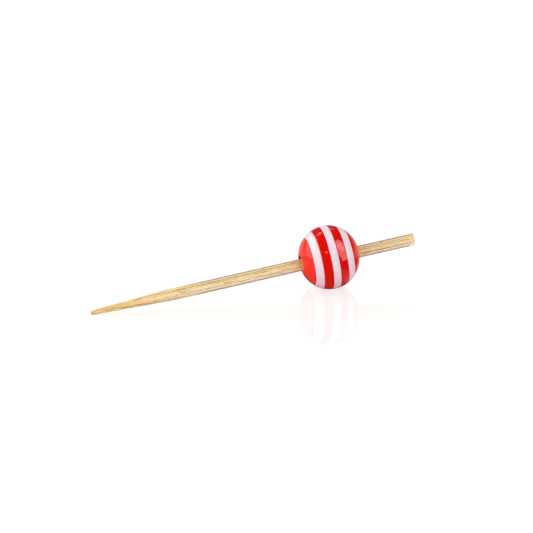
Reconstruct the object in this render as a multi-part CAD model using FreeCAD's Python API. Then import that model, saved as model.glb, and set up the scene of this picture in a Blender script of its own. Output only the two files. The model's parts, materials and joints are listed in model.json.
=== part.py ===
import FreeCAD, Part
import math
import os

# Cocktail pick, in millimetres: a split bamboo stick with a ground point at
# one end and a square cut at the other, and a ball bead pressed onto it. The
# bead is built up from discs of red and white resin, bonded face to face,
# drilled through the stack and ground round.

# The stick. It is a strip wider than it is thick, with its arrises eased.
stick_length = 62.3
stick_width = 2.22
stick_thickness = 1.8
arris_radius = 0.2
cut_chamfer = 0.08

# The point. A wheel grinds a slender cone about the stick's axis, and the
# flats run out over it as four tongues, the wide ones first.
tip_diameter = 0.84
tip_rounding = 0.25
point_half_angle = 2.7

# The bead. Its hole runs through the middle of every disc. The stick lies on
# the low side of the hole, whose wall presses its arrises round from just
# outside one mouth to just outside the other.
bead_diameter = 12.0
bead_length = 10.9
bead_from_tip = 45.75
hole_diameter = 2.75
mouth_rounding = 0.35
seat_lead = 0.1
seat_clearance = 0.02

# The discs, from the middle of the bead outwards: a white one, then a red
# and a white one on each side, then a red cap that takes what is left.
white_thickness = 1.38
red_thickness = 1.7

# Lying on a table, the pick rests on its bead and its tip, rolled so that
# one wide flat faces forwards and up.
flat_roll = 28.0

# One narrow flat of the stick bears on the hole's wall, which sets how far the
# stick's axis lies below the hole's.
hole_radius = hole_diameter / 2.0
seat_radius = hole_radius - seat_clearance
stick_drop = (seat_radius - stick_width / 2.0) / math.cos(math.radians(flat_roll))

# The hole's lips blend into the ball, whose outline is one arc that bulges a
# little past the hole's axis.
lip_radius_out = hole_radius + mouth_rounding
lip_height = bead_length / 2.0 - mouth_rounding
lip_from_rim = bead_diameter / 2.0 - lip_radius_out
outline_radius = (lip_height ** 2 + lip_from_rim ** 2 - mouth_rounding ** 2) / (
    2.0 * (lip_from_rim - mouth_rounding)
)
outline_centre = bead_diameter / 2.0 - outline_radius


def strip_blank():
    """The split strip before grinding: eased arrises, along +X from the tip."""
    blank = Part.makeBox(
        stick_length,
        stick_width,
        stick_thickness,
        FreeCAD.Vector(0.0, -stick_width / 2.0, -stick_thickness / 2.0),
    )
    long_edges = [edge for edge in blank.Edges if abs(edge.Length - stick_length) < 1e-6]
    blank = blank.makeFillet(arris_radius, long_edges)
    cut_face = max(blank.Faces, key=lambda face: face.CenterOfMass.x)
    return blank.makeChamfer(cut_chamfer, cut_face.Edges)


def grinding_envelope():
    """All that the wheel leaves: a cone with a rounded tip, then clear stock."""
    half_angle = math.radians(point_half_angle)
    round_centre_x = tip_rounding
    round_centre_r = tip_diameter / 2.0 - tip_rounding
    cone_start_x = round_centre_x - tip_rounding * math.sin(half_angle)
    cone_start_r = round_centre_r + tip_rounding * math.cos(half_angle)
    clear_radius = math.hypot(stick_width, stick_thickness)
    cone_end_x = cone_start_x + (clear_radius - cone_start_r) / math.tan(half_angle)
    mid_angle = math.radians(90.0 + point_half_angle + 180.0) / 2.0

    nose = FreeCAD.Vector(0.0, 0.0, 0.0)
    nose_edge = FreeCAD.Vector(0.0, 0.0, round_centre_r)
    nose_mid = FreeCAD.Vector(
        round_centre_x + tip_rounding * math.cos(mid_angle),
        0.0,
        round_centre_r + tip_rounding * math.sin(mid_angle),
    )
    cone_start = FreeCAD.Vector(cone_start_x, 0.0, cone_start_r)
    cone_end = FreeCAD.Vector(cone_end_x, 0.0, clear_radius)
    far_rim = FreeCAD.Vector(cone_end_x + stick_length, 0.0, clear_radius)
    far_axis = FreeCAD.Vector(cone_end_x + stick_length, 0.0, 0.0)
    outline = Part.Wire(
        [
            Part.LineSegment(nose, nose_edge).toShape(),
            Part.Arc(nose_edge, nose_mid, cone_start).toShape(),
            Part.LineSegment(cone_start, cone_end).toShape(),
            Part.LineSegment(cone_end, far_rim).toShape(),
            Part.LineSegment(far_rim, far_axis).toShape(),
            Part.LineSegment(far_axis, nose).toShape(),
        ]
    )
    return Part.Face(outline).revolve(nose, FreeCAD.Vector(1, 0, 0), 360)


def stick():
    """The ground strip, rolled as it lies, its arrises pressed round in the hole."""
    along = FreeCAD.Vector(1, 0, 0)
    strip = strip_blank().common(grinding_envelope())
    strip.rotate(FreeCAD.Vector(0, 0, 0), along, 90.0 - flat_roll)
    seat_length = bead_length + 2.0 * seat_lead
    seat_start = FreeCAD.Vector(bead_from_tip - seat_length / 2.0, 0.0, stick_drop)
    wall = Part.makeCylinder(bead_diameter, seat_length, seat_start, along)
    room = Part.makeCylinder(seat_radius, seat_length, seat_start, along)
    return strip.cut(wall.cut(room))


def bead_form():
    """The whole ball with its drilled hole and rounded mouths, hole along +X."""
    lip_angle = math.atan2(lip_height, lip_radius_out - outline_centre)
    blend = FreeCAD.Vector(
        outline_radius * math.sin(lip_angle),
        0.0,
        outline_centre + outline_radius * math.cos(lip_angle),
    )
    lip_mid_angle = (math.pi - lip_angle) / 2.0 + lip_angle
    lip_mid = FreeCAD.Vector(
        lip_height + mouth_rounding * math.sin(lip_mid_angle),
        0.0,
        lip_radius_out + mouth_rounding * math.cos(lip_mid_angle),
    )
    hole_edge = FreeCAD.Vector(lip_height, 0.0, hole_radius)
    rim = FreeCAD.Vector(0.0, 0.0, bead_diameter / 2.0)

    def mirrored(point):
        return FreeCAD.Vector(-point.x, point.y, point.z)

    outline = Part.Wire(
        [
            Part.LineSegment(mirrored(hole_edge), hole_edge).toShape(),
            Part.Arc(hole_edge, lip_mid, blend).toBSpline().toShape(),
            Part.Arc(blend, rim, mirrored(blend)).toShape(),
            Part.Arc(mirrored(blend), mirrored(lip_mid), mirrored(hole_edge)).toBSpline().toShape(),
        ]
    )
    ball = Part.Face(outline).revolve(FreeCAD.Vector(0, 0, 0), FreeCAD.Vector(1, 0, 0), 360)
    ball.translate(FreeCAD.Vector(bead_from_tip, 0.0, stick_drop))
    return ball


def bead_discs():
    """Each disc of the stack by name, with its two bond planes along the hole."""
    white_edge = white_thickness / 2.0
    red_edge = white_edge + red_thickness
    side_edge = red_edge + white_thickness
    cap_edge = bead_length
    return {
        "red_cap_point_side": (-cap_edge, -side_edge),
        "white_band_point_side": (-side_edge, -red_edge),
        "red_band_point_side": (-red_edge, -white_edge),
        "white_band_middle": (-white_edge, white_edge),
        "red_band_cut_side": (white_edge, red_edge),
        "white_band_cut_side": (red_edge, side_edge),
        "red_cap_cut_side": (side_edge, cap_edge),
    }


def bead_disc(ball, near_plane, far_plane):
    """One disc: the part of the ball between two bond planes."""
    slab = Part.makeCylinder(
        bead_diameter,
        far_plane - near_plane,
        FreeCAD.Vector(bead_from_tip + near_plane, 0, 0),
        FreeCAD.Vector(1, 0, 0),
    )
    return ball.common(slab)


def resting_pitch():
    """The angle by which the tip hangs down when bead and tip both touch."""
    reach = bead_from_tip - tip_rounding
    spread = outline_centre - stick_drop - (tip_diameter / 2.0 - tip_rounding)
    drop = outline_radius - tip_rounding
    return math.degrees(math.asin(drop / math.hypot(reach, spread)) + math.atan2(spread, reach))


pieces = {"stick": stick()}
ball = bead_form()
for name, planes in bead_discs().items():
    pieces[name] = bead_disc(ball, *planes)

# Laid down: tipped onto its point, then set on the table with the middle of
# its footprint at the origin.
pitch = resting_pitch()
for shape in pieces.values():
    shape.rotate(FreeCAD.Vector(0, 0, 0), FreeCAD.Vector(0, 1, 0), -pitch)
whole = Part.makeCompound(list(pieces.values())).optimalBoundingBox(False)
to_table = FreeCAD.Vector(-whole.Center.x, -whole.Center.y, -whole.ZMin)

os.makedirs("parts", exist_ok=True)
for name, shape in pieces.items():
    shape.translate(to_table)
    solid = shape.Solids[0]
    solid.exportStep("parts/" + name + ".step")
    print(name, "solids", len(shape.Solids), "volume", round(solid.Volume, 3), "valid", solid.isValid())
print("pitch", round(pitch, 3), "footprint", round(whole.XLength, 2), round(whole.YLength, 2))
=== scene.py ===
import bpy
import json
import math
from mathutils import Matrix, Vector


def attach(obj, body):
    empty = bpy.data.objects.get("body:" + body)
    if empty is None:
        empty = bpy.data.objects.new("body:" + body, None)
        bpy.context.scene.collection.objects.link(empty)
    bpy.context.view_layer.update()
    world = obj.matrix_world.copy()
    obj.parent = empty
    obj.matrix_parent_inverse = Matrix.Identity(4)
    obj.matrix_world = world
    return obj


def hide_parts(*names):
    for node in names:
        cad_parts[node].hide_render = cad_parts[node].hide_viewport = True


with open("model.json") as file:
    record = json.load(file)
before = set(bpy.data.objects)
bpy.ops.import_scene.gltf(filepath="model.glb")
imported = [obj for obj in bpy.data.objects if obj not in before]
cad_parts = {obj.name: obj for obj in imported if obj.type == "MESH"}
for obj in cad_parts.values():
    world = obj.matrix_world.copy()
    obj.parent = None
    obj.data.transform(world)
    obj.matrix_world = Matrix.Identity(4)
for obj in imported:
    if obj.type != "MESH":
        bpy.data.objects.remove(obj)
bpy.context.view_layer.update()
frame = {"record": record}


# The stick is one strip split from a bamboo cane, planed to a flat section, sawn square
# at one end and ground to a slender blunt cone at the other. Its fibres run from end to
# end, and stand up to two hundredths of a millimetre out of the tissue between them.
MM = 0.001
stick_length = 62.3 * MM
stick_width = 2.22 * MM
stick_thickness = 1.8 * MM
arris_radius = 0.2 * MM
cut_chamfer = 0.08 * MM
tip_diameter = 0.84 * MM
tip_rounding = 0.25 * MM
point_half_angle = math.radians(2.7)
flat_roll = math.radians(28.0)
fibre_relief = 0.022 * MM
saw_relief = 0.04 * MM

# One narrow flat lies on the low side of the bead's hole, whose wall presses
# the arrises round from just outside one mouth to just outside the other.
bead_from_tip = 45.75 * MM
bead_length = 10.9 * MM
hole_diameter = 2.75 * MM
seat_lead = 0.1 * MM
seat_clearance = 0.02 * MM
seat_radius = hole_diameter / 2.0 - seat_clearance
stick_drop = (seat_radius - stick_width / 2.0) / math.cos(flat_roll)
hole_middle = (stick_drop * math.cos(flat_roll), stick_drop * math.sin(flat_roll))

# Damage, each as its place on the strip, its reach along and across, and its
# depth: a nick in each long edge near the cut, a corner torn by the saw, and a
# pit beside it.
dents = [
    ((56.0 * MM, 1.11 * MM, 0.8 * MM), 0.5 * MM, 0.36 * MM, 0.16 * MM),
    ((55.0 * MM, -1.11 * MM, 0.75 * MM), 0.5 * MM, 0.32 * MM, 0.14 * MM),
    ((62.0 * MM, -0.85 * MM, 0.95 * MM), 0.95 * MM, 0.55 * MM, 0.16 * MM),
    ((61.4 * MM, -0.62 * MM, 0.9 * MM), 0.14 * MM, 0.26 * MM, 0.06 * MM),
]

cut_end = next(mount for mount in frame["record"]["mounts"] if mount["name"] == "cut_end")
along_stick = Vector(cut_end["axis"]).normalized()
tip_place = Vector(cut_end["pos_m"]) - along_stick * stick_length
stick_pitch = math.asin(along_stick.z)
stick_place = (
    Matrix.Translation(tip_place)
    @ Matrix.Rotation(-stick_pitch, 4, "Y")
    @ Matrix.Rotation(math.pi / 2.0 - flat_roll, 4, "X")
)


def add_node(tree, kind, inputs=(), **settings):
    """A node of one kind, with its settings, and each input set or linked."""
    made = tree.nodes.new(kind)
    for name, value in settings.items():
        setattr(made, name, value)
    for name, value in dict(inputs).items():
        if isinstance(value, bpy.types.NodeSocket):
            tree.links.new(value, made.inputs[name])
        else:
            made.inputs[name].default_value = value
    return made


def reckon(tree, operation, *values):
    """The result of one sum on numbers or sockets."""
    return add_node(tree, "ShaderNodeMath", enumerate(values), operation=operation).outputs[0]


def apart(tree, first, second):
    """How far apart two numbers are."""
    return reckon(tree, "ABSOLUTE", reckon(tree, "SUBTRACT", first, second))


def off_line(tree, across, up):
    """How far out a point lies from a line along X, from its two offsets."""
    squares = [reckon(tree, "POWER", offset, 2.0) for offset in (across, up)]
    return reckon(tree, "SQRT", reckon(tree, "ADD", *squares))


def vector_sum(tree, operation, first, second=None):
    """The result of one sum on vectors, a plain number for a length or a dot product."""
    inputs = {0: first}
    if second is not None:
        inputs["Scale" if operation == "SCALE" else 1] = second
    made = add_node(tree, "ShaderNodeVectorMath", inputs, operation=operation)
    return made.outputs["Value" if operation in ("LENGTH", "DOT_PRODUCT") else "Vector"]


def split(tree, vector):
    """The three parts of a vector, along X, Y and Z."""
    return add_node(tree, "ShaderNodeSeparateXYZ", {"Vector": vector}).outputs


def joined(tree, **parts):
    """A vector from its parts, zero where none is given."""
    return add_node(tree, "ShaderNodeCombineXYZ", parts).outputs[0]


def span(tree, value, none_at, full_at, most=1.0):
    """From 0 where a value is at one limit up to the most at the other, eased at both ends."""
    return add_node(
        tree,
        "ShaderNodeMapRange",
        {"Value": value, "From Min": none_at, "From Max": full_at, "To Max": most},
        interpolation_type="SMOOTHSTEP",
    ).outputs[0]


def drawn_noise(tree, place, stretch, detail=0.0, roughness=0.5):
    """Noise drawn out by a factor of its own along each axis of a place."""
    return add_node(
        tree,
        "ShaderNodeTexNoise",
        {
            "Vector": vector_sum(tree, "MULTIPLY", place, stretch),
            "Scale": 1.0,
            "Detail": detail,
            "Roughness": roughness,
        },
    ).outputs[0]


def from_dent(tree, place, dent, unit):
    """How far a place lies from a dent's middle, as a share of the dent's reach."""
    centre, along, across, _ = dent
    off = vector_sum(tree, "SUBTRACT", place, [value / unit for value in centre])
    off = vector_sum(tree, "MULTIPLY", off, (unit / along, unit / across, unit / across))
    return vector_sum(tree, "LENGTH", off)


def shape_tree(name, sizes):
    """An empty shape tree, its named inputs, one for each size, and its end."""
    tree = bpy.data.node_groups.new(name, "GeometryNodeTree")
    tree.interface.new_socket("Geometry", in_out="INPUT", socket_type="NodeSocketGeometry")
    for size_name, kind in sizes:
        tree.interface.new_socket(size_name, in_out="INPUT", socket_type=kind)
    tree.interface.new_socket("Geometry", in_out="OUTPUT", socket_type="NodeSocketGeometry")
    entry = tree.nodes.new("NodeGroupInput")
    leave = tree.nodes.new("NodeGroupOutput")
    return tree, entry.outputs, leave


def here(tree):
    """Where each point of the geometry lies."""
    return add_node(tree, "GeometryNodeInputPosition").outputs[0]


def moved(tree, geometry, **how):
    """The geometry with its points set to a Position or shifted by an Offset."""
    return add_node(tree, "GeometryNodeSetPosition", {"Geometry": geometry, **how}).outputs[0]


def finish_tree(tree, leave, geometry, material):
    """Realize Instances and Set Material, as every tree here ends."""
    real = add_node(tree, "GeometryNodeRealizeInstances", {"Geometry": geometry})
    painted = add_node(
        tree,
        "GeometryNodeSetMaterial",
        {"Geometry": real.outputs[0], "Material": material},
    )
    tree.links.new(painted.outputs[0], leave.inputs[0])


def shape_from_tree(name, tree, values, place, base_mesh=None):
    """A plain mesh object made by a tree, set in place with its object at the origin."""
    base = bpy.data.objects.new(name, base_mesh or bpy.data.meshes.new(name))
    bpy.context.scene.collection.objects.link(base)
    modifier = base.modifiers.new("shape", "NODES")
    modifier.node_group = tree
    sockets = {
        item.name: item.identifier
        for item in tree.interface.items_tree
        if item.item_type == "SOCKET" and item.in_out == "INPUT"
    }
    for size_name, value in values.items():
        modifier[sockets[size_name]] = value
    bpy.context.view_layer.update()
    seen = base.evaluated_get(bpy.context.evaluated_depsgraph_get())
    mesh = bpy.data.meshes.new_from_object(seen)
    base.modifiers.remove(modifier)
    mesh.transform(place)
    base.data = mesh
    mesh.name = name
    return base


def stick_section(tree, size):
    """The eased rectangle of the strip, as a curve to sweep."""
    corners = add_node(
        tree,
        "GeometryNodeCurvePrimitiveQuadrilateral",
        {"Width": size["Width"], "Height": size["Thickness"]},
    )
    eased = add_node(
        tree,
        "GeometryNodeFilletCurve",
        {"Curve": corners.outputs[0], "Radius": size["Arris"], "Count": 6},
        mode="POLY",
    )
    return add_node(
        tree,
        "GeometryNodeResampleCurve",
        {"Curve": eased.outputs[0], "Count": size["Points around"]},
    ).outputs[0]


def build_stick_tree(material):
    """Sweep the section, gather it to the cone, press the seat and the dents in, raise the fibres."""
    sizes = [
        ("Length", "NodeSocketFloat"),
        ("Width", "NodeSocketFloat"),
        ("Thickness", "NodeSocketFloat"),
        ("Arris", "NodeSocketFloat"),
        ("Chamfer", "NodeSocketFloat"),
        ("Tip radius", "NodeSocketFloat"),
        ("Tip rounding", "NodeSocketFloat"),
        ("Point slope", "NodeSocketFloat"),
        ("Seat at", "NodeSocketFloat"),
        ("Seat half length", "NodeSocketFloat"),
        ("Seat radius", "NodeSocketFloat"),
        ("Hole middle", "NodeSocketVector"),
        ("Relief", "NodeSocketFloat"),
        ("Points along", "NodeSocketInt"),
        ("Points around", "NodeSocketInt"),
    ]
    tree, size, leave = shape_tree("ground strip", sizes)
    line = add_node(
        tree,
        "GeometryNodeMeshLine",
        {"Count": size["Points along"], "Offset": joined(tree, X=size["Length"])},
        mode="END_POINTS",
    )
    axis = add_node(tree, "GeometryNodeMeshToCurve", {"Mesh": line.outputs[0]})
    swept = add_node(
        tree,
        "GeometryNodeCurveToMesh",
        {
            "Curve": axis.outputs[0],
            "Profile Curve": stick_section(tree, size),
            "Fill Caps": True,
        },
    )

    # Rings lie closer together at both ends, where the shape changes fastest.
    crowding = 0.9
    full_turn = 2.0 * math.pi
    along, across, up = split(tree, here(tree))
    share = reckon(tree, "DIVIDE", along, size["Length"])
    wave = reckon(tree, "SINE", reckon(tree, "MULTIPLY", share, full_turn))
    shift = reckon(tree, "MULTIPLY", wave, crowding / full_turn)
    station = reckon(tree, "MULTIPLY", reckon(tree, "SUBTRACT", share, shift), size["Length"])

    # The cone with its rounded tip is the most that the grinding leaves.
    tip_flat = reckon(tree, "SUBTRACT", size["Tip radius"], size["Tip rounding"])
    into_round = reckon(tree, "SUBTRACT", size["Tip rounding"], station)
    into_round = reckon(tree, "MAXIMUM", into_round, 0.0)
    chord = reckon(tree, "POWER", size["Tip rounding"], 2.0)
    chord = reckon(tree, "SUBTRACT", chord, reckon(tree, "POWER", into_round, 2.0))
    nose = reckon(tree, "SQRT", reckon(tree, "MAXIMUM", chord, 0.0))
    past_nose = reckon(tree, "SUBTRACT", station, size["Tip rounding"])
    past_nose = reckon(tree, "MAXIMUM", past_nose, 0.0)
    cone = reckon(tree, "ADD", tip_flat, nose)
    cone = reckon(tree, "ADD", cone, reckon(tree, "MULTIPLY", past_nose, size["Point slope"]))

    # At the other end the saw's edge is taken off all round.
    never_zero = 1e-6
    to_cut = reckon(tree, "SUBTRACT", size["Length"], station)
    lost = reckon(tree, "MAXIMUM", reckon(tree, "SUBTRACT", size["Chamfer"], to_cut), 0.0)
    off_axis = reckon(tree, "MAXIMUM", off_line(tree, across, up), never_zero)
    cone_share = reckon(tree, "MINIMUM", reckon(tree, "DIVIDE", cone, off_axis), 1.0)
    cut_share = reckon(tree, "SUBTRACT", 1.0, reckon(tree, "DIVIDE", lost, off_axis))
    kept = reckon(tree, "MULTIPLY", cone_share, cut_share)
    across = reckon(tree, "MULTIPLY", across, kept)
    up = reckon(tree, "MULTIPLY", up, kept)
    formed = moved(tree, swept.outputs[0], Position=joined(tree, X=station, Y=across, Z=up))

    # Inside the bead nothing stands further out than the hole lets it.
    along, across, up = split(tree, here(tree))
    _, middle_across, middle_up = split(tree, size["Hole middle"])
    across = reckon(tree, "SUBTRACT", across, middle_across)
    up = reckon(tree, "SUBTRACT", up, middle_up)
    off_middle = reckon(tree, "MAXIMUM", off_line(tree, across, up), never_zero)
    over = reckon(tree, "SUBTRACT", 1.0, reckon(tree, "DIVIDE", size["Seat radius"], off_middle))
    over = reckon(tree, "MAXIMUM", over, 0.0)
    from_bead = apart(tree, along, size["Seat at"])
    in_seat = reckon(tree, "LESS_THAN", from_bead, size["Seat half length"])
    pressed = reckon(tree, "MULTIPLY", reckon(tree, "MULTIPLY", over, in_seat), -1.0)
    across = reckon(tree, "MULTIPLY", across, pressed)
    up = reckon(tree, "MULTIPLY", up, pressed)
    formed = moved(tree, formed, Offset=joined(tree, Y=across, Z=up))

    # Each dent pushes the wood in towards the stick's axis, by its whole depth
    # over a small flat floor.
    dent_floor = 0.4
    for dent in dents:
        *_, depth = dent
        spot = here(tree)
        off = from_dent(tree, spot, dent, 1.0)
        press = span(tree, off, none_at=1.0, full_at=dent_floor, most=depth)
        inwards = vector_sum(tree, "MULTIPLY", spot, (0.0, -1.0, -1.0))
        inwards = vector_sum(tree, "NORMALIZE", inwards)
        formed = moved(tree, formed, Offset=vector_sum(tree, "SCALE", inwards, press))

    # Fibres are long and thin, so the noise is drawn out along the stick. Most of
    # it lies below the planed face, which only the hardest fibres reach.
    planed_level = 0.72
    fibres = drawn_noise(tree, here(tree), stretch=(140.0, 5200.0, 5200.0), detail=3.0, roughness=0.6)
    height = reckon(tree, "SUBTRACT", fibres, planed_level)
    height = reckon(tree, "MULTIPLY", height, size["Relief"])
    outwards = add_node(tree, "GeometryNodeInputNormal").outputs[0]
    raised = moved(tree, formed, Offset=vector_sum(tree, "SCALE", outwards, height))
    smooth = add_node(tree, "GeometryNodeSetShadeSmooth", {"Geometry": raised})
    finish_tree(tree, leave, smooth.outputs[0], material)
    return tree


def place_along(tree, piece_place):
    """Object coordinates turned to run along a piece, in millimetres from its own origin."""
    coordinates = add_node(tree, "ShaderNodeTexCoord")
    return add_node(
        tree,
        "ShaderNodeMapping",
        {
            "Vector": coordinates.outputs["Object"],
            "Location": piece_place.to_translation(),
            "Rotation": piece_place.to_euler("XYZ"),
            "Scale": (MM, MM, MM),
        },
        vector_type="TEXTURE",
    ).outputs[0]


def start_material(name):
    """A new material, with its node tree and its shader."""
    material = bpy.data.materials.new(name)
    material.use_nodes = True
    return material, material.node_tree, material.node_tree.nodes["Principled BSDF"]


def colour_mix(tree, share, first, second):
    """Two colours mixed by a share, any of them a socket."""
    return add_node(tree, "ShaderNodeMix", {0: share, 6: first, 7: second}, data_type="RGBA").outputs[2]


def tint(tree, base, colour, where, strength=1.0):
    """A colour laid over another where a mask says, at most by a strength."""
    return colour_mix(tree, reckon(tree, "MULTIPLY", where, strength), base, colour)


def screen_colour(red, green, blue):
    """A colour as seen on screen, 0 to 255, in the linear values that shaders take."""
    linear = []
    for channel in (red, green, blue):
        share = channel / 255.0
        linear.append(share / 12.92 if share <= 0.04045 else ((share + 0.055) / 1.055) ** 2.4)
    return (*linear, 1.0)


def bamboo_material():
    """Straw-coloured tissue, cream fibre bundles with tan sheaths, a yellower ground point."""
    material, tree, shader = start_material("bamboo")
    place = place_along(tree, stick_place)
    along, across, up = split(tree, place)

    yellow = screen_colour(240, 209, 126)
    pale_tissue = screen_colour(230, 209, 177)
    cream = screen_colour(248, 232, 209)
    tan = screen_colour(172, 136, 84)
    brown = screen_colour(130, 88, 46)
    shade_olive = screen_colour(156, 128, 88)
    nick_brown = screen_colour(92, 66, 30)
    ochre = screen_colour(208, 170, 104)
    gold = screen_colour(242, 206, 112)
    amber = screen_colour(196, 138, 66)
    painted_red_bounce = screen_colour(222, 138, 58)

    # Layers of the cane run from end to end, and the edge that lay nearer the
    # skin is the yellower one.
    skin_lean = -0.08
    layers = drawn_noise(tree, place, stretch=(0.004, 2.2, 2.2))
    to_inner = reckon(tree, "MULTIPLY_ADD", across, skin_lean, layers)
    tissue = colour_mix(tree, span(tree, to_inner, none_at=0.44, full_at=0.56), yellow, pale_tissue)
    # Past the bead the pick is held in the fingers, which leaves it a deeper ochre
    # that fades towards the cut.
    handled = span(tree, along, none_at=50.0, full_at=53.0)
    handled = reckon(tree, "MULTIPLY", handled, span(tree, along, none_at=64.0, full_at=54.0))
    tissue = tint(tree, tissue, ochre, handled, strength=0.6)
    # Bundles run true too, so the flats cut them in long lines, cream with tan
    # sheaths, which hold brown grime where the pick is handled.
    bundles = drawn_noise(tree, place, stretch=(0.006, 4.1, 4.1))
    sheath = span(tree, bundles, none_at=0.49, full_at=0.34)
    lined = tint(tree, tissue, tan, sheath, strength=0.9)
    lined = tint(tree, lined, brown, reckon(tree, "MULTIPLY", sheath, handled), strength=0.5)
    lined = tint(tree, lined, cream, span(tree, bundles, none_at=0.53, full_at=0.66))
    # Single fibres show as dashes under a millimetre long, pale beside tan.
    fibres = drawn_noise(tree, place, stretch=(1.1, 5.6, 5.6), detail=1.0, roughness=0.6)
    fine = tint(tree, lined, tan, span(tree, fibres, none_at=0.49, full_at=0.34), strength=0.36)
    fine = tint(tree, fine, cream, span(tree, fibres, none_at=0.53, full_at=0.68), strength=0.45)
    # Vessels that the plane has opened are short dark dashes.
    vessels = drawn_noise(tree, place, stretch=(0.42, 4.8, 4.8))
    planed = tint(tree, fine, brown, span(tree, vessels, none_at=0.34, full_at=0.26), strength=0.55)

    # A pale line runs beside each arris. It is partly bare fibre and partly a painted highlight
    # where the eased arris catches the light. Painted shade darkens the arris itself, a little
    # further in on the low side.
    shade_reach_low_side = 0.05
    over_across = reckon(tree, "SUBTRACT", reckon(tree, "ABSOLUTE", across), stick_width / 2.0 / MM)
    over_up = reckon(tree, "SUBTRACT", reckon(tree, "ABSOLUTE", up), stick_thickness / 2.0 / MM)
    from_corner = reckon(tree, "ADD", over_across, over_up)
    edged = tint(tree, planed, cream, span(tree, from_corner, none_at=-0.5, full_at=-0.25), strength=0.6)
    low_side = span(tree, across, none_at=-0.5, full_at=-0.9)
    painted_arris_shade = reckon(tree, "MULTIPLY_ADD", low_side, shade_reach_low_side, from_corner)
    edged = tint(tree, edged, shade_olive, span(tree, painted_arris_shade, none_at=-0.26, full_at=-0.14), strength=0.85)
    # Beside both mouths the stick is tinted red with painted light, which stands in for the red that the
    # bead throws on it.
    mouth = bead_length / 2.0 / MM
    from_bead = apart(tree, along, bead_from_tip / MM)
    beside = span(tree, from_bead, none_at=mouth + 3.0, full_at=mouth - 0.5)
    edged = tint(tree, edged, painted_red_bounce, beside, strength=0.38)
    # The nicks are coloured dark brown, the torn corner shows clean fibre and the pit its sheath.
    for dent, mark in zip(dents, (nick_brown, nick_brown, cream, tan)):
        in_dent = span(tree, from_dent(tree, place, dent, MM), none_at=1.1, full_at=0.5)
        edged = tint(tree, edged, mark, in_dent, strength=0.9)

    # The grinding wheel leaves the cone a deeper yellow, deepest at the tip.
    ground_gold = 0.48
    cone = reckon(tree, "MULTIPLY", along, math.tan(point_half_angle))
    cone = reckon(tree, "ADD", cone, tip_diameter / 2.0 / MM)
    from_cone = reckon(tree, "SUBTRACT", off_line(tree, across, up), cone)
    ground = span(tree, from_cone, none_at=-0.09, full_at=-0.03)
    golden = colour_mix(tree, ground_gold, planed, gold)
    golden = tint(tree, golden, gold, span(tree, along, none_at=14.0, full_at=1.0), strength=0.25)
    # There the wheel cuts the fibres aslant, in fine amber and cream streaks.
    streaks = drawn_noise(tree, place, stretch=(0.22, 7.5, 7.5), detail=1.0)
    golden = tint(tree, golden, amber, span(tree, streaks, none_at=0.5, full_at=0.36), strength=0.7)
    golden = tint(tree, golden, cream, span(tree, streaks, none_at=0.53, full_at=0.66), strength=0.6)
    tree.links.new(colour_mix(tree, ground, edged, golden), shader.inputs["Base Color"])

    least_roughness = 0.42
    fibre_roughness = 0.25
    roughness = reckon(tree, "MULTIPLY_ADD", fibres, fibre_roughness, least_roughness)
    tree.links.new(roughness, shader.inputs["Roughness"])
    shader.inputs["Specular IOR Level"].default_value = 0.35
    bump = add_node(
        tree,
        "ShaderNodeBump",
        {"Height": fibres, "Strength": 0.35, "Distance": 0.05 * MM},
    )
    tree.links.new(bump.outputs[0], shader.inputs["Normal"])
    return material


bamboo = bamboo_material()
stick = shape_from_tree(
    "bamboo_stick",
    build_stick_tree(bamboo),
    {
        "Length": stick_length - saw_relief,
        "Width": stick_width,
        "Thickness": stick_thickness,
        "Arris": arris_radius,
        "Chamfer": cut_chamfer,
        "Tip radius": tip_diameter / 2.0,
        "Tip rounding": tip_rounding,
        "Point slope": math.tan(point_half_angle),
        "Seat at": bead_from_tip,
        "Seat half length": bead_length / 2.0 + seat_lead,
        "Seat radius": seat_radius,
        "Hole middle": (0.0, *hole_middle),
        "Relief": fibre_relief,
        "Points along": 520,
        "Points around": 108,
    },
    stick_place,
)
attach(stick, "root")
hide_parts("stick")


# The sawn face is studded with the brown ends of the cane's hard fibre bundles, which
# the saw leaves a hair proud of the softer tissue that holds them.
bundle_radius = 0.1 * MM
bundle_spacing = 0.3 * MM
bundle_crowd = 6.0e7


def bundle_material():
    """Dense fibre seen end on, mottled from brown to tan."""
    material, tree, shader = start_material("bundle ends")
    place = place_along(tree, stick_place)
    grains = add_node(tree, "ShaderNodeTexNoise", {"Vector": place, "Scale": 9.0, "Detail": 3.0})
    colour = colour_mix(
        tree,
        span(tree, grains.outputs[0], none_at=0.35, full_at=0.65),
        screen_colour(150, 108, 62),
        screen_colour(206, 170, 116),
    )
    tree.links.new(colour, shader.inputs["Base Color"])
    least_roughness = 0.55
    grain_roughness = 0.2
    roughness = reckon(tree, "MULTIPLY_ADD", grains.outputs[0], grain_roughness, least_roughness)
    tree.links.new(roughness, shader.inputs["Roughness"])
    return material


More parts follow.
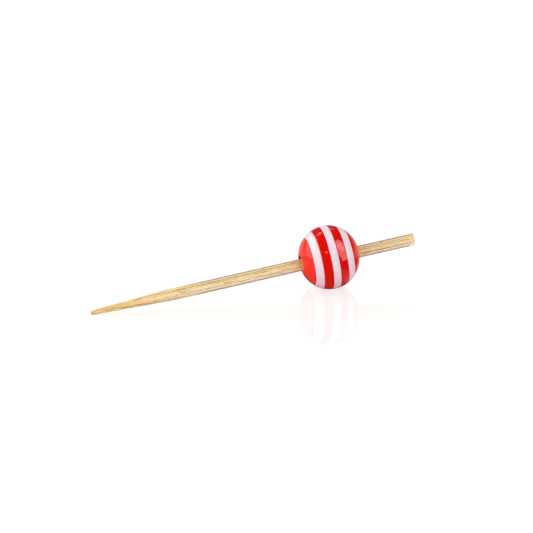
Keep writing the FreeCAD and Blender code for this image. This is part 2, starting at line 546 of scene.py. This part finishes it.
def build_bundle_tree(material):
    """Scatter bundle ends over the sawn face, no two closer than the spacing."""
    sizes = [
        ("Width", "NodeSocketFloat"),
        ("Thickness", "NodeSocketFloat"),
        ("Radius", "NodeSocketFloat"),
        ("Spacing", "NodeSocketFloat"),
        ("Crowd", "NodeSocketFloat"),
        ("Relief", "NodeSocketFloat"),
        ("Seed", "NodeSocketInt"),
    ]
    tree, size, leave = shape_tree("bundle ends", sizes)

    # Both rims of the face together stay clear by this many bundle radii.
    clear_radii = 3.2
    rims = reckon(tree, "MULTIPLY", size["Radius"], clear_radii)
    face = add_node(
        tree,
        "GeometryNodeMeshGrid",
        {
            "Size X": reckon(tree, "SUBTRACT", size["Width"], rims),
            "Size Y": reckon(tree, "SUBTRACT", size["Thickness"], rims),
            "Vertices X": 2,
            "Vertices Y": 2,
        },
    )
    spots = add_node(
        tree,
        "GeometryNodeDistributePointsOnFaces",
        {
            "Mesh": face.outputs[0],
            "Distance Min": size["Spacing"],
            "Density Max": size["Crowd"],
            "Seed": size["Seed"],
        },
        distribute_method="POISSON",
    )
    stud = add_node(
        tree,
        "GeometryNodeMeshCylinder",
        {"Vertices": 10, "Radius": size["Radius"], "Depth": size["Relief"]},
    )
    grown = add_node(
        tree,
        "FunctionNodeRandomValue",
        {"Min": (0.7, 0.7, 0.8), "Max": (1.3, 1.3, 1.0), "Seed": size["Seed"]},
        data_type="FLOAT_VECTOR",
    )
    studs = add_node(
        tree,
        "GeometryNodeInstanceOnPoints",
        {"Points": spots.outputs["Points"], "Instance": stud.outputs["Mesh"], "Scale": grown.outputs[0]},
    )
    finish_tree(tree, leave, studs.outputs[0], material)
    return tree


# The grid's X and Y become the strip's width and thickness, square to its length.
face_place = (
    stick_place
    @ Matrix.Translation((stick_length - saw_relief, 0.0, 0.0))
    @ Matrix(((0, 0, 1, 0), (1, 0, 0, 0), (0, 1, 0, 0), (0, 0, 0, 1)))
)
bundle_ends = shape_from_tree(
    "bundle_ends",
    build_bundle_tree(bundle_material()),
    {
        "Width": stick_width,
        "Thickness": stick_thickness,
        "Radius": bundle_radius,
        "Spacing": bundle_spacing,
        "Crowd": bundle_crowd,
        "Relief": saw_relief,
        "Seed": 7,
    },
    face_place,
)
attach(bundle_ends, "root")


# Raised fibres are single fibres of the bamboo that planing has lifted out of the flats.
# They stay fast at one end and lie along the stick, fine as a hair.
sliver_length = 1.5 * MM
sliver_radius = 0.016 * MM
sliver_lift = math.radians(1.6)
sliver_crowd = 1.6e5
clear_of_tip = 9.0 * MM
clear_of_cut = 2.0 * MM
clear_of_bead = 7.5 * MM


def build_sliver_tree(material):
    """Scatter tapered slivers over the stick's flats, each drawn out along it."""
    sizes = [
        ("Sliver length", "NodeSocketFloat"),
        ("Radius", "NodeSocketFloat"),
        ("Lift", "NodeSocketFloat"),
        ("Crowd", "NodeSocketFloat"),
        ("First", "NodeSocketFloat"),
        ("Last", "NodeSocketFloat"),
        ("Bead at", "NodeSocketFloat"),
        ("Bead room", "NodeSocketFloat"),
        ("Seed", "NodeSocketInt"),
    ]
    tree, size, leave = shape_tree("raised fibres", sizes)
    spots = add_node(
        tree,
        "GeometryNodeDistributePointsOnFaces",
        {"Mesh": size["Geometry"], "Density": size["Crowd"], "Seed": size["Seed"]},
    )

    # None stands near the tip, the cut or the bead, whose outlines and fit it would spoil.
    along = split(tree, here(tree))["X"]
    early = reckon(tree, "LESS_THAN", along, size["First"])
    late = reckon(tree, "GREATER_THAN", along, size["Last"])
    near = reckon(tree, "LESS_THAN", apart(tree, along, size["Bead at"]), size["Bead room"])
    barred = reckon(tree, "MAXIMUM", reckon(tree, "MAXIMUM", early, late), near)
    kept = add_node(
        tree,
        "GeometryNodeDeleteGeometry",
        {"Geometry": spots.outputs["Points"], "Selection": barred},
        domain="POINT",
    )

    # One sliver is a fine cone laid along X with its root at the origin.
    cone = add_node(
        tree,
        "GeometryNodeMeshCone",
        {
            "Vertices": 5,
            "Side Segments": 3,
            "Radius Top": 0.0,
            "Radius Bottom": size["Radius"],
            "Depth": size["Sliver length"],
        },
    )
    laid = add_node(
        tree,
        "GeometryNodeTransform",
        {"Geometry": cone.outputs["Mesh"], "Rotation": (0.0, math.pi / 2.0, 0.0)},
    )
    turned = add_node(
        tree,
        "FunctionNodeAlignRotationToVector",
        {"Vector": spots.outputs["Normal"]},
        axis="Z",
        pivot_axis="X",
    )
    tilt = joined(tree, Y=reckon(tree, "MULTIPLY", size["Lift"], -1.0))
    tilt = add_node(tree, "FunctionNodeEulerToRotation", {"Euler": tilt})
    turned = add_node(
        tree,
        "FunctionNodeRotateRotation",
        {"Rotation": turned.outputs[0], "Rotate By": tilt.outputs[0]},
        rotation_space="LOCAL",
    )
    grown = add_node(
        tree,
        "FunctionNodeRandomValue",
        {"Min": (0.4, 0.7, 0.7), "Max": (1.2, 1.2, 1.2), "Seed": size["Seed"]},
        data_type="FLOAT_VECTOR",
    )
    slivers = add_node(
        tree,
        "GeometryNodeInstanceOnPoints",
        {
            "Points": kept.outputs[0],
            "Instance": laid.outputs[0],
            "Rotation": turned.outputs[0],
            "Scale": grown.outputs[0],
        },
    )
    finish_tree(tree, leave, slivers.outputs[0], material)
    return tree


bare_stick = stick.data.copy()
bare_stick.transform(stick_place.inverted())
raised_fibres = shape_from_tree(
    "raised_fibres",
    build_sliver_tree(bamboo),
    {
        "Sliver length": sliver_length,
        "Radius": sliver_radius,
        "Lift": sliver_lift,
        "Crowd": sliver_crowd,
        "First": clear_of_tip,
        "Last": stick_length - clear_of_cut,
        "Bead at": bead_from_tip,
        "Bead room": clear_of_bead,
        "Seed": 11,
    },
    stick_place,
    bare_stick,
)
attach(raised_fibres, "root")


# The bead is seven discs of cast resin, red and white in turn, bonded face to face. The
# stack is drilled through the middle, ground to a ball and polished, so each disc is a
# ring with a piece of the ball's outline round its rim.
bead_diameter = 12.0 * MM
mouth_rounding = 0.35 * MM
white_thickness = 1.38 * MM
red_thickness = 1.7 * MM
white_edge = white_thickness / 2.0
red_edge = white_edge + red_thickness
side_edge = red_edge + white_thickness

# The outline is one arc that runs smoothly into the rounded lip of either mouth.
hole_radius = hole_diameter / 2.0
lip_out = hole_radius + mouth_rounding
lip_height = bead_length / 2.0 - mouth_rounding
lip_from_rim = bead_diameter / 2.0 - lip_out
outline_radius = (lip_height ** 2 + lip_from_rim ** 2 - mouth_rounding ** 2) / (
    2.0 * (lip_from_rim - mouth_rounding)
)
outline_centre = bead_diameter / 2.0 - outline_radius
lip_angle = math.atan2(lip_height, lip_out - outline_centre)
bead_place = stick_place @ Matrix.Translation((bead_from_tip, *hole_middle))


def rim_point(angle):
    """A point of the ball's outline: how far along the hole, and how far out."""
    return (outline_radius * math.sin(angle), outline_centre + outline_radius * math.cos(angle))


def disc_section(near_plane, far_plane):
    """One disc cut through the hole: points along the hole and out from its middle."""
    step = math.radians(1.5)
    fewest_steps = 6
    lip_steps = 10
    limit = outline_radius * math.sin(lip_angle)
    near_angle = math.asin(max(near_plane, -limit) / outline_radius)
    far_angle = math.asin(min(far_plane, limit) / outline_radius)
    count = max(fewest_steps, round((far_angle - near_angle) / step))
    points = [rim_point(near_angle + (far_angle - near_angle) * i / count) for i in range(count + 1)]
    lip = []
    for i in range(1, lip_steps + 1):
        angle = lip_angle + (math.pi - lip_angle) * i / lip_steps
        lip.append(
            (lip_height + mouth_rounding * math.sin(angle), lip_out + mouth_rounding * math.cos(angle))
        )
    if far_plane > limit:
        points += lip
    else:
        points.append((far_plane, hole_radius))
    if near_plane < -limit:
        points += [(-x, r) for x, r in reversed(lip)]
    else:
        points.append((near_plane, hole_radius))
    return points


def section_outline(name, points):
    """The section as a closed loop of edges, standing beside the axis X."""
    outline = bpy.data.meshes.new(name)
    corners = [(x, 0.0, r) for x, r in points]
    edges = [(i, (i + 1) % len(points)) for i in range(len(points))]
    outline.from_pydata(corners, edges, [])
    return outline


def build_turning_tree():
    """Turn a closed outline about X, as a lathe would, and paint it."""
    sizes = [
        ("Path radius", "NodeSocketFloat"),
        ("Steps", "NodeSocketInt"),
        ("Material", "NodeSocketMaterial"),
    ]
    tree, size, leave = shape_tree("turned disc", sizes)
    outline = add_node(tree, "GeometryNodeMeshToCurve", {"Mesh": size["Geometry"]})
    path = add_node(
        tree,
        "GeometryNodeCurvePrimitiveCircle",
        {"Resolution": size["Steps"], "Radius": size["Path radius"]},
    )
    # The loop is laid flat beside the path, with its own middle on the path.
    along, _, out = split(tree, here(tree))
    from_path = reckon(tree, "SUBTRACT", out, size["Path radius"])
    laid = moved(tree, outline.outputs[0], Position=joined(tree, X=from_path, Y=along))
    turned = add_node(
        tree,
        "GeometryNodeCurveToMesh",
        {"Curve": path.outputs[0], "Profile Curve": laid},
    )
    upright = add_node(
        tree,
        "GeometryNodeTransform",
        {"Geometry": turned.outputs[0], "Rotation": (0.0, math.pi / 2.0, 0.0)},
    )
    smooth = add_node(tree, "GeometryNodeSetShadeSmooth", {"Geometry": upright.outputs[0]})
    finish_tree(tree, leave, smooth.outputs[0], size["Material"])
    return tree


def resin_material(name, body, painted_cap_glows, edge, edge_width, edge_share, depth, sheen, sheen_tint, painted_bounce):
    """Polished cast resin: its own colour, a bleed of the next colour at each bond, faint polish marks."""
    material, tree, shader = start_material(name)
    place = place_along(tree, bead_place)
    along, across, up = split(tree, place)

    # The nearest bond plane: one of three distances from the ball's middle.
    off_middle = reckon(tree, "ABSOLUTE", along)
    gaps = [apart(tree, off_middle, plane / MM) for plane in (white_edge, red_edge, side_edge)]
    nearest = reckon(tree, "MINIMUM", reckon(tree, "MINIMUM", gaps[0], gaps[1]), gaps[2])
    full_bleed = 0.35
    bleed = span(tree, nearest, none_at=edge_width, full_at=edge_width * full_bleed)

    # Soft clouds and finer marks marble the resin between two near colours.
    fine_share = 0.7
    clouds = add_node(
        tree,
        "ShaderNodeTexNoise",
        {"Vector": place, "Scale": 0.45, "Detail": 3.0},
    )
    marks = add_node(
        tree,
        "ShaderNodeTexNoise",
        {"Vector": place, "Scale": 3.5, "Detail": 5.0, "Roughness": 0.7},
    )
    coarse = reckon(tree, "MULTIPLY", clouds.outputs[0], 1.0 - fine_share)
    marbling = reckon(tree, "MULTIPLY_ADD", marks.outputs[0], fine_share, coarse)
    cloudy = colour_mix(tree, span(tree, marbling, none_at=0.38, full_at=0.62), *body)
    # Low down the disc is tinted with painted light, which stands in for the red that its neighbours throw
    # on the table.
    height = split(tree, add_node(tree, "ShaderNodeTexCoord").outputs["Object"])["Z"]
    low = span(tree, height, none_at=8.5 * MM, full_at=1.0 * MM)
    cloudy = colour_mix(tree, low, cloudy, painted_bounce)
    # The thin caps beside the mouths are painted lighter. This painted glow stands in for the light that
    # comes through them.
    for side, reach, painted_glow in ((-1.0, 0.36, painted_cap_glows[0]), (1.0, 0.43, painted_cap_glows[1])):
        cap_start = side * side_edge / MM
        cap_glows = side * reach * bead_length / MM
        cloudy = colour_mix(tree, span(tree, along, cap_start, cap_glows), cloudy, painted_glow)
    # Painted shade darkens the hole's wall, and a painted highlight runs pale round the mouths' edges.
    wall = hole_radius / MM
    off_axis = off_line(tree, across, up)
    from_lip = apart(tree, off_axis, lip_out / MM)
    painted_lip_highlight = span(tree, from_lip, none_at=0.2, full_at=0.06)
    painted_lip_highlight = reckon(tree, "MULTIPLY", painted_lip_highlight, span(tree, marbling, none_at=0.3, full_at=0.56))
    cloudy = tint(tree, cloudy, screen_colour(255, 168, 154), painted_lip_highlight, strength=0.85)
    painted_hole_shade = span(tree, off_axis, none_at=wall + 0.17, full_at=wall + 0.05)
    cloudy = colour_mix(tree, painted_hole_shade, cloudy, screen_colour(96, 12, 14))
    tree.links.new(tint(tree, cloudy, edge, bleed, edge_share), shader.inputs["Base Color"])

    least_roughness = 0.02
    mark_roughness = 0.05
    roughness = reckon(tree, "MULTIPLY_ADD", marks.outputs[0], mark_roughness, least_roughness)
    tree.links.new(roughness, shader.inputs["Roughness"])
    bump = add_node(
        tree,
        "ShaderNodeBump",
        {"Height": clouds.outputs[0], "Strength": 0.02, "Distance": 0.2 * MM},
    )
    tree.links.new(bump.outputs[0], shader.inputs["Normal"])
    shader.inputs["IOR"].default_value = 1.5
    shader.inputs["Specular IOR Level"].default_value = sheen
    shader.inputs["Specular Tint"].default_value = sheen_tint
    shader.inputs["Subsurface Weight"].default_value = depth
    shader.inputs["Subsurface Radius"].default_value = (1.2 * MM, 0.6 * MM, 0.6 * MM)
    shader.inputs["Subsurface Scale"].default_value = 1.0
    return material


red_resin = resin_material(
    "red resin",
    body=(screen_colour(224, 18, 6), screen_colour(208, 8, 4)),
    painted_cap_glows=(screen_colour(244, 56, 42), screen_colour(248, 46, 32)),
    edge=screen_colour(236, 30, 20),
    edge_width=0.16,
    edge_share=0.4,
    depth=0.0,
    sheen=0.5,
    sheen_tint=(1.0, 0.45, 0.47, 1.0),
    painted_bounce=screen_colour(212, 26, 20),
)
white_pair = (screen_colour(247, 234, 241), screen_colour(228, 213, 225))
white_resin = resin_material(
    "white resin",
    body=white_pair,
    painted_cap_glows=white_pair,
    edge=screen_colour(255, 214, 230),
    edge_width=0.2,
    edge_share=0.8,
    depth=0.15,
    sheen=0.2,
    sheen_tint=(1.0, 1.0, 1.0, 1.0),
    painted_bounce=screen_colour(250, 194, 212),
)

# Each disc lies between two planes, and a cap's outer plane is clear of the ball.
bead_discs = {
    "red_cap_point_side": (-bead_length, -side_edge, "red_resin"),
    "white_band_point_side": (-side_edge, -red_edge, "white_resin"),
    "red_band_point_side": (-red_edge, -white_edge, "red_resin"),
    "white_band_middle": (-white_edge, white_edge, "white_resin"),
    "red_band_cut_side": (white_edge, red_edge, "red_resin"),
    "white_band_cut_side": (red_edge, side_edge, "white_resin"),
    "red_cap_cut_side": (side_edge, bead_length, "red_resin"),
}
resins = {"red_resin": red_resin, "white_resin": white_resin}
turning_tree = build_turning_tree()
for node_name, (near_plane, far_plane, slot_name) in bead_discs.items():
    section = section_outline(node_name + "_section", disc_section(near_plane, far_plane))
    disc = shape_from_tree(
        "polished_" + node_name,
        turning_tree,
        {
            "Path radius": (hole_radius + bead_diameter / 2.0) / 2.0,
            "Steps": 192,
            "Material": resins[slot_name],
        },
        bead_place,
        section,
    )
    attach(disc, "root")
    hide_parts(node_name)


# The studio is a white glossy table, which runs out of sight under and behind the pick,
# in a white room. Soft lamps stand to the right, to the left and behind, and two small
# warm ones give the bead its glints.
full_white = (1.0, 1.0, 1.0, 1.0)
floor_half = 3.0
floor_white = (0.9, 0.9, 0.9, 1.0)
floor_gloss = 0.42
floor_shade = 0.36
floor_lift = 1.17
mirrored_room = 0.08
mirrored_far = 0.55

# The camera looks down a long lens, so the pick shows almost no perspective.
camera_azimuth = math.radians(-14.52)
camera_elevation = math.radians(28.01)
camera_distance = 0.565
view_right = 2.32 * MM
view_up = 5.254 * MM
camera_right = Vector((math.cos(camera_azimuth), math.sin(camera_azimuth), 0.0))
camera_back = Vector(
    (
        math.sin(camera_azimuth) * math.cos(camera_elevation),
        -math.cos(camera_azimuth) * math.cos(camera_elevation),
        math.sin(camera_elevation),
    )
)
camera_up = camera_back.cross(camera_right)
view_middle = camera_right * view_right + camera_up * view_up


def studio_floor():
    """A wide square of white glossy table, as the camera, mirrors and other light see it."""
    mesh = bpy.data.meshes.new("studio_floor")
    corners = [
        (-floor_half, -floor_half, 0.0),
        (floor_half, -floor_half, 0.0),
        (floor_half, floor_half, 0.0),
        (-floor_half, floor_half, 0.0),
    ]
    mesh.from_pydata(corners, [], [(0, 1, 2, 3)])
    floor = bpy.data.objects.new("studio_floor", mesh)
    bpy.context.scene.collection.objects.link(floor)
    material = bpy.data.materials.new("white table")
    material.use_nodes = True
    tree = material.node_tree
    tree.nodes.clear()
    output = tree.nodes.new("ShaderNodeOutputMaterial")
    matt = add_node(tree, "ShaderNodeBsdfDiffuse", {"Color": floor_white})
    gloss = add_node(tree, "ShaderNodeBsdfGlossy", {"Color": full_white, "Roughness": 0.05})
    seen = add_node(tree, "ShaderNodeMixShader", {0: floor_gloss, 1: matt.outputs[0], 2: gloss.outputs[0]})
    rays = tree.nodes.new("ShaderNodeLightPath")
    # The camera sees paper white, with the shadow and the mirror image laid on it.
    lit = add_node(tree, "ShaderNodeEmission", {"Color": full_white, "Strength": floor_lift})
    shaded = add_node(tree, "ShaderNodeMixShader", {0: floor_shade, 1: lit.outputs[0], 2: seen.outputs[0]})
    # In a mirror the table is dim, but for its far part, which rims the bead with
    # light, and for a pool of light that the right lamp throws beside the bead.
    away = Vector((-camera_back.x, -camera_back.y, 0.0)).normalized()
    spot = add_node(tree, "ShaderNodeTexCoord").outputs["Object"]
    off = vector_sum(tree, "SUBTRACT", spot, bead_place.to_translation())
    behind = vector_sum(tree, "DOT_PRODUCT", off, away)
    far = span(tree, behind, none_at=8.0 * MM, full_at=16.0 * MM)
    beside = vector_sum(tree, "DOT_PRODUCT", off, camera_right)
    pool = span(tree, beside, none_at=3.5 * MM, full_at=5.5 * MM)
    pool = reckon(tree, "MULTIPLY", pool, span(tree, beside, none_at=16.0 * MM, full_at=11.0 * MM))
    bright = reckon(tree, "MAXIMUM", far, pool)
    strength = reckon(tree, "MULTIPLY_ADD", bright, mirrored_far - mirrored_room, mirrored_room)
    mirrored = add_node(tree, "ShaderNodeEmission", {"Color": full_white, "Strength": strength})
    indirect = add_node(
        tree,
        "ShaderNodeMixShader",
        {0: rays.outputs["Is Glossy Ray"], 1: matt.outputs[0], 2: mirrored.outputs[0]},
    )
    surface = add_node(
        tree,
        "ShaderNodeMixShader",
        {0: rays.outputs["Is Camera Ray"], 1: indirect.outputs[0], 2: shaded.outputs[0]},
    )
    tree.links.new(surface.outputs[0], output.inputs["Surface"])
    mesh.materials.append(material)
    return floor


studio_floor()

camera_data = bpy.data.cameras.new("camera")
camera_data.lens = 204.67
camera_data.sensor_width = 36.0
camera_data.clip_start = 0.01
camera_data.clip_end = 20.0
camera = bpy.data.objects.new("camera", camera_data)
bpy.context.scene.collection.objects.link(camera)
camera.matrix_world = Matrix(
    (
        (camera_right.x, camera_up.x, camera_back.x, 0.0),
        (camera_right.y, camera_up.y, camera_back.y, 0.0),
        (camera_right.z, camera_up.z, camera_back.z, 0.0),
        (0.0, 0.0, 0.0, 1.0),
    )
)
camera.location = view_middle + camera_back * camera_distance
bpy.context.scene.camera = camera


# The room lights the pick from all round, more from the left. What the bead
# mirrors of it is dim, but for a white card behind that the table mirrors too.
room_light = 0.67
left_lean = 0.5
card_half_angle = math.radians(9.0)
card_softness = 0.01
world = bpy.data.worlds.new("white room")
bpy.context.scene.world = world
world.use_nodes = True
world_tree = world.node_tree
backdrop = world_tree.nodes["Background"]
backdrop.inputs["Color"].default_value = full_white
rays = world_tree.nodes.new("ShaderNodeLightPath")
look = add_node(world_tree, "ShaderNodeTexCoord")


def towards(direction):
    """How nearly a ray points in one direction, as the cosine between them."""
    return vector_sum(world_tree, "DOT_PRODUCT", look.outputs["Generated"], direction)


card_direction = Vector((-camera_back.x, -camera_back.y, camera_back.z))
card_edge = math.cos(card_half_angle)
on_card = span(world_tree, towards(card_direction), card_edge - card_softness, card_edge + card_softness)
mirrored = reckon(world_tree, "MULTIPLY_ADD", on_card, 1.0 - mirrored_room, mirrored_room)
fill = reckon(world_tree, "MULTIPLY_ADD", towards(-camera_right), left_lean * room_light, room_light)
in_mirror = reckon(world_tree, "MULTIPLY", mirrored, rays.outputs["Is Glossy Ray"])
not_in_mirror = reckon(world_tree, "SUBTRACT", 1.0, rays.outputs["Is Glossy Ray"])
indirect = reckon(world_tree, "MULTIPLY_ADD", fill, not_in_mirror, in_mirror)
straight = reckon(world_tree, "MAXIMUM", rays.outputs["Is Camera Ray"], rays.outputs["Is Transmission Ray"])
world_tree.links.new(reckon(world_tree, "MAXIMUM", indirect, straight), backdrop.inputs["Strength"])


def softbox(name, direction, distance, size, radiance, turn=0.0, colour=(1.0, 1.0, 1.0), only=""):
    """A soft lamp seen from the bead at a direction given as right, up and towards the camera."""
    width, height = size
    lamp_data = bpy.data.lights.new(name, "AREA")
    lamp_data.shape = "RECTANGLE"
    lamp_data.size = width
    lamp_data.size_y = height
    lamp_data.energy = radiance * math.pi * width * height
    lamp_data.color = colour
    lamp = bpy.data.objects.new(name, lamp_data)
    bpy.context.scene.collection.objects.link(lamp)
    right, up, nearer = direction
    aim = (camera_right * right + camera_up * up + camera_back * nearer).normalized()
    lamp.location = bead_place.to_translation() + aim * distance
    spin = Matrix.Rotation(math.radians(turn), 3, "Z")
    lamp.rotation_euler = (aim.to_track_quat("Z", "Y").to_matrix() @ spin).to_euler()
    lamp.visible_diffuse = only != "mirror"
    lamp.visible_glossy = only != "fill"


# A lamp made for mirror images alone lights nothing matt, and one made for the fill
# alone shows in no mirror, so each side's shine and its light are set apart.
right_side = (0.75, 0.405, 0.525)
softbox("right_softbox", right_side, distance=0.6, size=(0.48, 0.76), radiance=5.9, only="mirror")
softbox("right_heart", (0.66, 0.53, 0.54), distance=0.58, size=(0.16, 0.26), radiance=5.0, only="mirror")
softbox("right_fill", right_side, distance=0.62, size=(0.48, 0.76), radiance=1.1, only="fill")
softbox(
    "left_softbox",
    (-0.9, 0.38, 0.1),
    distance=0.6,
    size=(0.66, 0.46),
    radiance=2.5,
    turn=-40.8,
    only="mirror",
)
softbox(
    "left_fill",
    (-0.83, 0.52, 0.21),
    distance=0.62,
    size=(1.0, 0.44),
    radiance=0.78,
    turn=-40.8,
    only="fill",
)
softbox("low_left_fill", (-0.85, -0.2, 0.45), distance=0.6, size=(0.4, 0.4), radiance=1.4, only="fill")
softbox("rear_softbox", (-0.41, 0.89, -0.22), distance=0.6, size=(0.16, 0.16), radiance=1.2)
softbox(
    "small_lamp_in_front",
    (-0.19, 0.3, 0.94),
    distance=0.6,
    size=(0.08, 0.08),
    radiance=12.0,
    colour=(1.0, 0.6, 0.25),
)
softbox(
    "small_lamp_behind",
    (-0.34, 0.9, -0.27),
    distance=0.55,
    size=(0.05, 0.05),
    radiance=9.0,
    colour=(1.0, 0.8, 0.4),
)

bpy.context.scene.view_settings.view_transform = "Standard"
